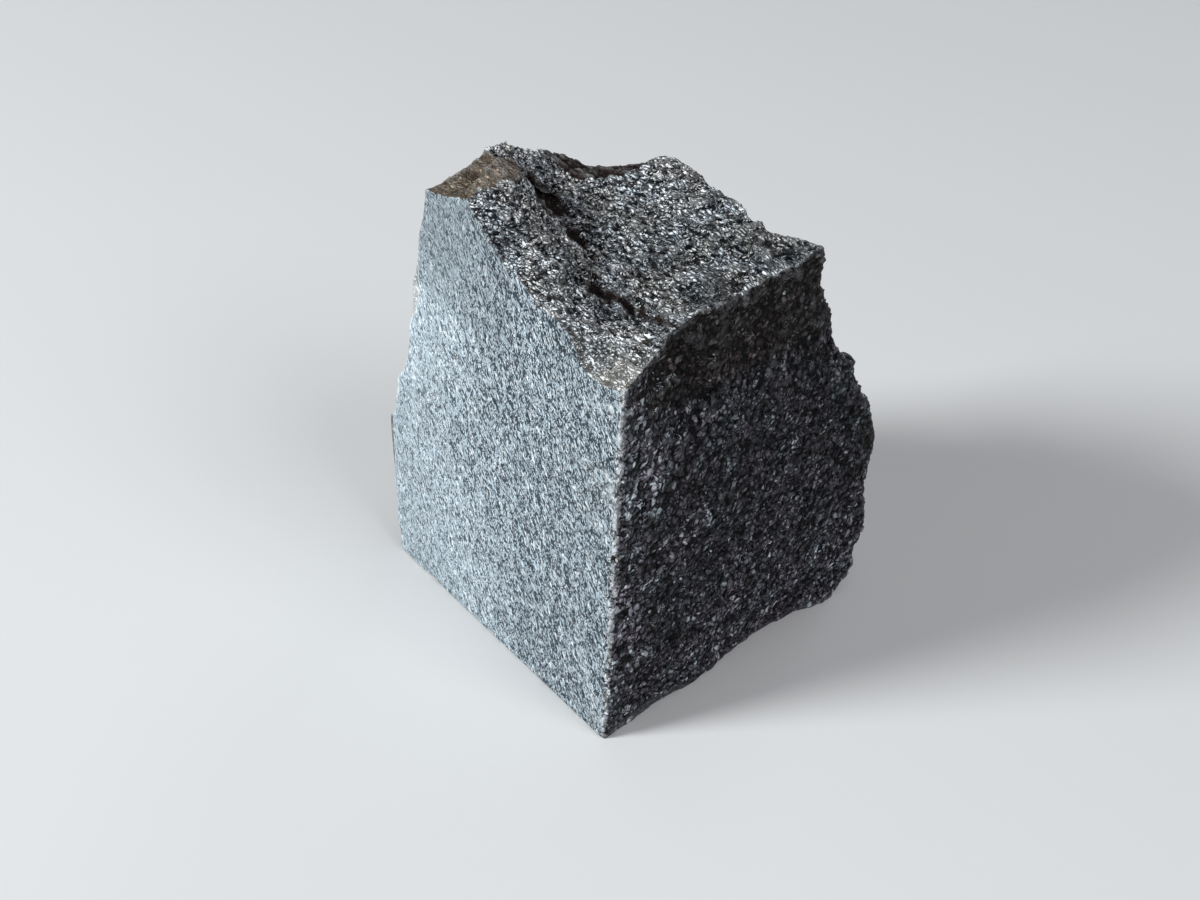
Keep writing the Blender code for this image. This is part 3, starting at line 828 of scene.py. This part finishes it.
def makePatchGroup(settings):
    tree, given, out = newGroup(
        "softPatches",
        dict(place=None, size=8 * mm, lightest=1.1, darkest=0.8),
        ["strength", "mask"],
    )
    mask = remap(tree, cloudNoise(tree, given["place"], given["size"], settings), *settings["border"])
    feed(tree, out["mask"], mask)
    lift = calc(tree, "SUBTRACT", given["lightest"], given["darkest"])
    feed(tree, out["strength"], calc(tree, "MULTIPLY_ADD", mask, lift, given["darkest"]))


# A film of rust or dust that breaks up at its border and in the grain.
filmSettings = dict(detail=5.0, roughness=0.65, border=(0.2, 0.8), limit=(0.02, 0.2))


def makeFilmGroup(settings):
    tree, given, out = newGroup(
        "brokenFilm",
        dict(
            colour=(0.3, 0.3, 0.3, 1), filmColour=(0.3, 0.2, 0.1, 1), where=0.0, place=None,
            patchSize=2 * mm, strength=1.0, breakUp=0.5, cover=0.5, gain=2.0,
        ),
        ["colour"],
    )
    cloud = cloudNoise(tree, given["place"], given["patchSize"], settings)
    shifted = times(tree, calc(tree, "SUBTRACT", cloud, 0.5), given["breakUp"])
    frayed = calc(tree, "MULTIPLY_ADD", shifted, 2.0, given["where"])
    film = times(tree, remap(tree, frayed, *settings["border"]), given["strength"], clamp=True)
    film = times(tree, film, remap(tree, given["where"], *settings["limit"]))
    # where it is thin, the film tints the stone, and where it is thick, it covers it
    tinted = vectorCalc(tree, "MULTIPLY", given["colour"], given["filmColour"])
    tinted = vectorCalc(tree, "MULTIPLY", tinted, threeTimes(tree, given["gain"]))
    coat = blendColours(tree, given["cover"], tinted, given["filmColour"])
    feed(tree, out["colour"], blendColours(tree, film, given["colour"], coat))


# Crests rubbed pale, and painted shade darkening the hollows.
def makeWearAndShadeGroup():
    tree, given, out = newGroup(
        "crestWearAndHollowShade",
        dict(
            colour=(0.3, 0.3, 0.3, 1), crest=0.0, hollow=0.0, rubbedColour=(0.7, 0.7, 0.7, 1),
            hollowColour=(0.02, 0.02, 0.02, 1), rubbed=0.3, shaded=0.6,
        ),
        ["colour"],
    )
    worn = times(tree, given["crest"], given["rubbed"], clamp=True)
    lifted = blendColours(tree, worn, given["colour"], given["rubbedColour"])
    sunk = times(tree, given["hollow"], given["shaded"], clamp=True)
    feed(tree, out["colour"], blendColours(tree, sunk, lifted, given["hollowColour"]))


makeLathGroup()
makeGrainGroup(grainSettings)
makeToneGroup()
makePatchGroup(patchSettings)
makeFilmGroup(filmSettings)
makeWearAndShadeGroup()
print("node groups made")

# The finishes. Patches are size, lightest and darkest. Tint is size and two colours. A pair such as
# byDarkening is what a mark is multiplied by and what is then added. Films lie on in their order.
sawnFinish = dict(
    ground=(0.56, 0.66, 0.72, 1),
    pale=(0.86, 0.92, 0.95, 1),
    dark=(0.05, 0.072, 0.095, 1),
    gap=(0.02, 0.032, 0.045, 1),
    toneSpread=0.4,
    grain=dict(
        width=0.28 * mm, length=0.9 * mm, lean=-0.40, spread=0.45, heading=0.0, fan=0.3, crowding=0.42,
        paleShare=0.2, gapShare=0.7, outline=0.6, softness=0.05, bend=0.6 * mm,
    ),
    strengthByContrast=1.5,
    gapWidthByContrast=(0.22, 0.15),
    darkShareByContrast=(0.26, 0.09),
    patches=[(6 * mm, 1.05, 0.93)],
    byDarkening=(-0.5, 1.0),
    films=[
        dict(
            where="corner", filmColour=(0.72, 0.75, 0.75, 1), patchSize=0.9 * mm, strength=0.95,
            breakUp=1.3, cover=0.7, gain=1.8,
        ),
    ],
    surface=dict(roughness=(0.85, 0.6), bumpHeight=0.07 * mm, bumpStrength=0.8, specular=0.2),
)
# painted shade: the cleft face's colours are far darker than the broken top's, a shaded copy of the same stone
# for the face that lies away from the light
shadedCleftFinish = dict(
    ground=(0.104, 0.097, 0.114, 1),
    pale=(0.32, 0.33, 0.355, 1),
    dark=(0.010, 0.010, 0.012, 1),
    gap=(0.001, 0.001, 0.002, 1),
    paintedGlint=(0.85, 0.95, 1.0, 1),
    toneSpread=0.8,
    grain=dict(
        width=0.95 * mm, length=1.4 * mm, lean=0.5, spread=0.9, heading=1.57, fan=0.8, crowding=0.5,
        paleShare=0.18, darkShare=0.18, gapWidth=0.24, gapShare=0.95, outline=1.0, softness=0.05,
        bend=1.0 * mm,
    ),
    coarse=dict(
        width=2.2 * mm, length=3.4 * mm, lean=0.9, spread=0.9, heading=1.57, fan=0.8, crowding=0.5,
        paleShare=0.2, darkShare=0.35, gapWidth=0.22, gapShare=0.8, outline=0.7, softness=0.1,
        bend=0.6 * mm,
    ),
    byCoarseTone=(0.9, 0.55),
    byCoarseGap=(-0.5, 1.0),
    byFlecksAndGlints=(1.8, 0.4),
    patches=[(9 * mm, 1.3, 0.75), (2.6 * mm, 1.35, 0.65), (0.4 * mm, 1.5, 0.55)],
    tint=(5.5 * mm, (1.05, 0.97, 0.99, 1), (0.86, 1.0, 0.98, 1)),  # faintly purple, faintly green
    films=[
        dict(
            where="scarFilm", filmColour=(0.022, 0.019, 0.0155, 1), patchSize=4 * mm, strength=0.85,
            cover=0.4, gain=25.0,
        ),
        dict(
            where="corner", filmColour=(0.6, 0.62, 0.63, 1), patchSize=0.9 * mm, strength=0.95, breakUp=1.3,
            cover=0.6, gain=4.0,
        ),
    ],
    wearAndShade=dict(rubbedColour=(0.32, 0.33, 0.35, 1), rubbed=0.35, shaded=0.85),
    surface=dict(roughness=(0.75, 0.42), bumpHeight=0.34 * mm, bumpStrength=1.0, specular=0.03),
)
brokenFinish = dict(
    ground=(0.70, 0.73, 0.755, 1),
    pale=(0.88, 0.90, 0.91, 1),
    dark=(0.010, 0.012, 0.017, 1),
    gap=(0.002, 0.002, 0.003, 1),
    toneSpread=0.9,
    grain=dict(
        width=0.43 * mm, length=1.7 * mm, lean=1.5, spread=0.12, heading=0.05, fan=0.85, crowding=0.5,
        paleShare=0.34, darkShare=0.22, gapWidth=0.3, gapShare=0.95, outline=1.0, softness=0.05,
        bend=0.75 * mm,
    ),
    streaks=dict(
        width=0.9 * mm, length=3.8 * mm, lean=1.5, spread=0.1, heading=-0.05, fan=0.45, crowding=0.5,
        paleShare=0.2, darkShare=0.3, gapWidth=0.33, gapShare=0.85, outline=0.8, softness=0.1,
        bend=0.9 * mm,
    ),
    byStreakTone=(0.8, 0.84),
    byStreakGap=(-0.7, 1.0),
    patches=[(8 * mm, 1.15, 0.8), (0.5 * mm, 1.4, 0.6)],
    tint=(4.5 * mm, (1.04, 1.0, 0.94, 1), (0.92, 1.0, 1.06, 1)),  # faintly warm, faintly blue
    byDarkening=(-1.2, 1.42),
    films=[
        dict(
            where="creamDust", filmColour=(0.54, 0.52, 0.475, 1), patchSize=1.6 * mm, strength=0.65,
            cover=0.35, gain=1.75,
        ),
        dict(
            where="ironFilm", filmColour=(0.122, 0.094, 0.067, 1), mottle=(1.7 * mm, 1.4, 0.55),
            patchSize=1.8 * mm, strength=1.0, breakUp=0.6, cover=0.65, gain=4.5,
        ),
        # rust in the grooves, painted near black as the shade that lies in them
        dict(
            where="pocketRustAndShade", filmColour=(0.022, 0.010, 0.007, 1), patchSize=0.9 * mm, strength=1.0,
            breakUp=0.8, cover=0.85, gain=5.0,
        ),
        # painted shade in the grooves, laid on as a near-black film
        dict(
            where="grooveShade", filmColour=(0.007, 0.005, 0.0045, 1), patchSize=0.7 * mm, strength=0.58,
            breakUp=0.8, cover=0.7, gain=30.0,
        ),
        # brown stain on the rear wall, with painted shade: a near-black film
        dict(
            where="rearStainAndShade", filmColour=(0.014, 0.007, 0.005, 1), patchSize=2.2 * mm, strength=1.0,
            breakUp=0.8, cover=0.85, gain=8.0,
        ),
        # pale bruised arrises, with a painted highlight along the left bevel
        dict(
            where="corner", filmColour=(0.82, 0.85, 0.85, 1), patchSize=0.9 * mm, strength=0.95,
            breakUp=0.9, cover=0.7, gain=1.8,
        ),
    ],
    wearAndShade=dict(rubbedColour=(0.78, 0.79, 0.78, 1), rubbed=0.25, shaded=0.9),
    hollowShare=0.6,
    surface=dict(roughness=(0.8, 0.4), bumpHeight=0.24 * mm, bumpStrength=1.0, specular=0.05),
)

# The palest that any stone may be, and how much smoother a glinting crystal is.
palestStone = (0.88, 0.88, 0.88)
glintSmoother = -0.35


def startMaterial(name):
    material = bpy.data.materials.new(name)
    material.use_nodes = True
    tree = material.node_tree
    shader = tree.nodes["Principled BSDF"]
    spot = place(tree, "ShaderNodeTexCoord").outputs["Object"]
    return material, tree, shader, spot


def reading(tree, name):
    return place(tree, "ShaderNodeAttribute", attribute_name=name).outputs["Fac"]


def scaledBy(tree, value, pair):
    return calc(tree, "MULTIPLY_ADD", value, *pair)


def grainAndColour(tree, spot, finish, **changing):
    grain = useGroup(tree, "stoneGrain", place=spot, **finish["grain"], **changing)
    shares = {name: grain[name] for name in ("pale", "dark", "gap", "tone")}
    colours = {name + "Colour": finish[name] for name in ("ground", "pale", "dark", "gap")}
    tones = useGroup(tree, "mineralTones", toneSpread=finish["toneSpread"], **shares, **colours)
    return grain, tones["colour"]


def shadeByGrain(tree, spot, colour, crystals, byTone, byGap):
    grain = useGroup(tree, "stoneGrain", place=spot, **crystals)
    lift = times(tree, scaledBy(tree, grain["tone"], byTone), scaledBy(tree, grain["gap"], byGap))
    return timesColour(tree, colour, lift)


def patchStrength(tree, spot, size, lightest, darkest):
    return useGroup(tree, "softPatches", place=spot, size=size, lightest=lightest, darkest=darkest)["strength"]


def layPatches(tree, spot, colour, patches):
    for size, lightest, darkest in patches:
        colour = timesColour(tree, colour, patchStrength(tree, spot, size, lightest, darkest))
    return colour


def layTint(tree, spot, colour, size, first, second):
    mask = useGroup(tree, "softPatches", place=spot, size=size)["mask"]
    return timesColour(tree, colour, blendColours(tree, mask, first, second))


def layFilms(tree, spot, colour, films):
    for film in films:
        values = dict(film, where=reading(tree, film["where"]))
        mottle = values.pop("mottle", None)
        if mottle:
            values["filmColour"] = timesColour(tree, film["filmColour"], patchStrength(tree, spot, *mottle))
        colour = useGroup(tree, "brokenFilm", colour=colour, place=spot, **values)["colour"]
    return colour


def layWearAndShade(tree, colour, hollow, wearAndShade):
    crest = reading(tree, "crest")
    return useGroup(tree, "crestWearAndHollowShade", colour=colour, crest=crest, hollow=hollow, **wearAndShade)["colour"]


def finishShader(tree, shader, colour, grain, surface):
    feed(tree, shader.inputs["Base Color"], vectorCalc(tree, "MINIMUM", colour, palestStone))
    roughness = remap(tree, grain["dark"], 0.0, 1.0, *surface["roughness"])
    roughness = calc(tree, "MULTIPLY_ADD", grain["glint"], glintSmoother, roughness, clamp=True)
    feed(tree, shader.inputs["Roughness"], roughness)
    height = {"Height": grain["relief"], "Distance": surface["bumpHeight"], "Strength": surface["bumpStrength"]}
    bump = place(tree, "ShaderNodeBump", height)
    feed(tree, shader.inputs["Normal"], bump.outputs[0])
    shader.inputs["Specular IOR Level"].default_value = surface["specular"]


def makeSawnMaterial(finish):
    material, tree, shader, spot = startMaterial("sawnStone")
    # the grain shows more towards the cleft face
    contrast = reading(tree, "contrast")
    grain, colour = grainAndColour(
        tree,
        spot,
        finish,
        strength=times(tree, contrast, finish["strengthByContrast"]),
        gapWidth=scaledBy(tree, contrast, finish["gapWidthByContrast"]),
        darkShare=scaledBy(tree, contrast, finish["darkShareByContrast"]),
    )
    colour = layPatches(tree, spot, colour, finish["patches"])
    colour = timesColour(tree, colour, scaledBy(tree, reading(tree, "darkening"), finish["byDarkening"]))
    colour = layFilms(tree, spot, colour, finish["films"])
    finishShader(tree, shader, colour, grain, finish["surface"])
    return material


def makeShadedCleftMaterial(finish):
    material, tree, shader, spot = startMaterial("shadedCleftStone")
    grain, colour = grainAndColour(tree, spot, finish)
    colour = shadeByGrain(tree, spot, colour, finish["coarse"], finish["byCoarseTone"], finish["byCoarseGap"])
    # lightened by paler flecks, and by painted glints by the corner
    colour = timesColour(tree, colour, scaledBy(tree, reading(tree, "flecksAndGlints"), finish["byFlecksAndGlints"]))
    colour = layPatches(tree, spot, colour, finish["patches"])
    colour = layTint(tree, spot, colour, *finish["tint"])
    colour = layFilms(tree, spot, colour, finish["films"])
    # crests rubbed pale, and painted shade in the hollows
    colour = layWearAndShade(tree, colour, reading(tree, "hollow"), finish["wearAndShade"])
    # a painted glint beside the corner, in pale blue-white
    paintedGlint = times(tree, reading(tree, "paintedGlint"), grain["pale"], clamp=True)
    colour = blendColours(tree, paintedGlint, colour, finish["paintedGlint"])
    finishShader(tree, shader, colour, grain, finish["surface"])
    return material


def makeBrokenMaterial(finish):
    material, tree, shader, spot = startMaterial("brokenStone")
    grain, colour = grainAndColour(tree, spot, finish)
    # darker streaks along the grain
    colour = shadeByGrain(tree, spot, colour, finish["streaks"], finish["byStreakTone"], finish["byStreakGap"])
    colour = layPatches(tree, spot, colour, finish["patches"])
    colour = layTint(tree, spot, colour, *finish["tint"])
    colour = timesColour(tree, colour, scaledBy(tree, reading(tree, "darkening"), finish["byDarkening"]))
    colour = layFilms(tree, spot, colour, finish["films"])
    # painted shade in the hollows
    hollow = times(tree, reading(tree, "hollow"), finish["hollowShare"])
    colour = layWearAndShade(tree, colour, hollow, finish["wearAndShade"])
    finishShader(tree, shader, colour, grain, finish["surface"])
    return material


def assignFaces(obj, settings, materials):
    mesh = obj.data
    for material in materials:
        mesh.materials.append(material)
    x, y, z = triples(mesh.polygons, "center").T
    nx, ny, nz = triples(mesh.polygons, "normal").T
    sawnSlot, cleftSlot, brokenSlot = range(3)
    chosen = np.full(len(x), brokenSlot)
    deepest = np.where(z > settings["scarsFrom"], settings["scarDepth"], settings["cleftDepth"])
    chosen[(nx > settings["cleftFrom"]) & (x > settings["sidePlane"] - deepest)] = cleftSlot
    facing, within = settings["sawnFacing"], settings["sawnWithin"]
    chosen[(ny < -facing) & (y < settings["frontPlane"] + within)] = sawnSlot
    chosen[(nz < -facing) & (z < within)] = sawnSlot
    mesh.polygons.foreach_set("material_index", chosen.astype(np.int32))
    mesh.update()


materials = [makeSawnMaterial(sawnFinish), makeShadedCleftMaterial(shadedCleftFinish), makeBrokenMaterial(brokenFinish)]
assignFaces(block, blockSettings, materials)
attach(block, "root")
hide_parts(blockSettings["cadNode"])
print("materials assigned")

stageSettings = dict(
    floorSize=6.0,
    floorColour=(0.62, 0.62, 0.61, 1),
    floorRoughness=0.8,
    worldColour=(0.80, 0.84, 0.9, 1),
    worldStrength=0.08,
    target=(0.0, 0.0, 0.036),
    lights=[
        dict(name="keyLight", place=(-0.36, -0.88, 0.66), size=0.32, power=16.0, colour=(0.93, 0.97, 1.0)),
        dict(name="fillLight", place=(-0.25, 1.1, 0.5), size=0.8, power=2.5, colour=(0.9, 0.93, 1.0)),
        dict(name="sideLight", place=(0.62, 0.05, 0.72), size=0.5, power=3.6, colour=(0.95, 0.95, 1.0)),
        dict(name="topLight", place=(0.15, -0.05, 1.2), size=0.5, power=1.8, colour=(0.95, 0.97, 1.0)),
    ],
)


def makeFloor(settings):
    bpy.ops.object.select_all(action="DESELECT")
    bpy.ops.mesh.primitive_plane_add(size=settings["floorSize"], location=(0, 0, 0))
    floor = bpy.context.object
    floor.name = "studioFloor"
    material = bpy.data.materials.new("paleFloor")
    material.use_nodes = True
    shader = material.node_tree.nodes["Principled BSDF"]
    shader.inputs["Base Color"].default_value = settings["floorColour"]
    shader.inputs["Roughness"].default_value = settings["floorRoughness"]
    floor.data.materials.append(material)


def makeLight(values, target):
    data = bpy.data.lights.new(values["name"], "AREA")
    data.shape = "DISK"
    data.size = values["size"]
    data.energy = values["power"]
    data.color = values["colour"]
    light = bpy.data.objects.new(values["name"], data)
    bpy.context.scene.collection.objects.link(light)
    light.location = values["place"]
    light.rotation_euler = (Vector(target) - light.location).to_track_quat("-Z", "Y").to_euler()


def makeStudio(settings):
    makeFloor(settings)
    for values in settings["lights"]:
        makeLight(values, settings["target"])
    world = bpy.data.worlds.new("softRoom")
    world.use_nodes = True
    background = world.node_tree.nodes["Background"]
    background.inputs["Color"].default_value = settings["worldColour"]
    background.inputs["Strength"].default_value = settings["worldStrength"]
    bpy.context.scene.world = world
    bpy.context.scene.view_settings.view_transform = "Standard"


cameraSettings = dict(
    name="stoneCamera",
    lens=54.0,  # mm
    sensor=36.0,  # mm
    nearest=10 * mm,
    place=(0.15308, -0.13948, 0.1927),
    turn=(50.3668, -2.1571, 50.5476),  # degrees
)


def makeCamera(settings):
    data = bpy.data.cameras.new(settings["name"])
    data.lens = settings["lens"]
    data.sensor_width = settings["sensor"]
    data.clip_start = settings["nearest"]
    camera = bpy.data.objects.new(settings["name"], data)
    bpy.context.scene.collection.objects.link(camera)
    camera.location = settings["place"]
    camera.rotation_euler = [math.radians(angle) for angle in settings["turn"]]
    bpy.context.scene.camera = camera


makeStudio(stageSettings)
makeCamera(cameraSettings)
print("studio and camera set")
